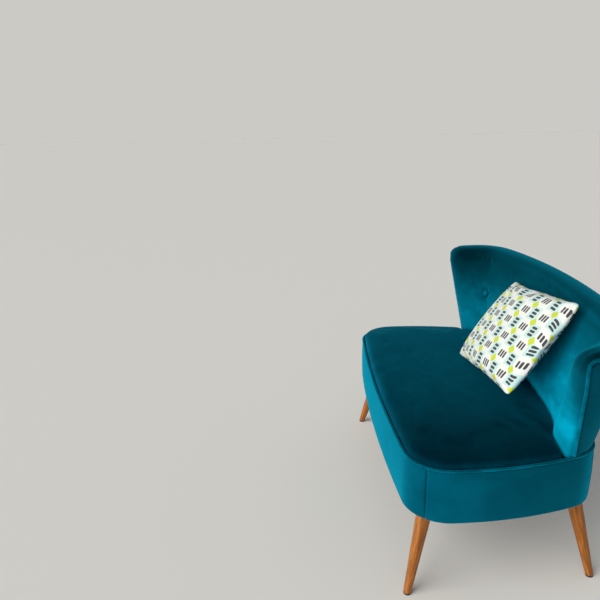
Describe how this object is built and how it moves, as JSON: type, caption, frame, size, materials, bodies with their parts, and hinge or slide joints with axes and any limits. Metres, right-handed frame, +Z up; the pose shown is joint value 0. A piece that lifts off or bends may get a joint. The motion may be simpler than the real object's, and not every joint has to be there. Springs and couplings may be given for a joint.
{
  "type": "two-seat cocktail sofa with a loose cushion",
  "caption": "Two-seat cocktail sofa with a low curved winged back, a rounded piped seat, splayed tapered wooden legs and a loose oblong cushion.",
  "frame": {"origin": "middle of the sofa's bounding box, on the floor", "axes": "+X along the seat towards the left hand of someone sitting on it, -Y out of the front, +Z up"},
  "size_m": [1.2304, 0.6418, 0.78],
  "materials": {
    "velvet": "short cut pile, deep teal",
    "piping": "velvet bias piping over cord",
    "timber": "softwood frame with springs and foam, felt-covered",
    "dust_cover": "black non-woven cloth",
    "leg_wood": "satin stained beech",
    "plate_steel": "zinc plated",
    "glide_plastic": "moulded nylon",
    "cushion_cotton": "printed plain-weave cotton"
  },
  "bodies": {
    "root": {"seat_frame": "timber", "dust_cover": "dust_cover", "front_border": "velvet", "left_side_border": "velvet", "right_side_border": "velvet", "rear_border": "velvet", "seat_pad": "velvet", "seat_piping": "piping", "back_pad": "velvet", "back_outer_panel": "velvet", "back_piping": "piping", "left_button": "velvet", "middle_button": "velvet", "right_button": "velvet", "front_left_leg_plate": "plate_steel", "front_left_leg": "leg_wood", "front_left_glide": "glide_plastic", "front_right_leg_plate": "plate_steel", "front_right_leg": "leg_wood", "front_right_glide": "glide_plastic", "rear_left_leg_plate": "plate_steel", "rear_left_leg": "leg_wood", "rear_left_glide": "glide_plastic", "rear_right_leg_plate": "plate_steel", "rear_right_leg": "leg_wood", "rear_right_glide": "glide_plastic", "scatter_cushion": "cushion_cotton"}
  },
  "joints": []
}
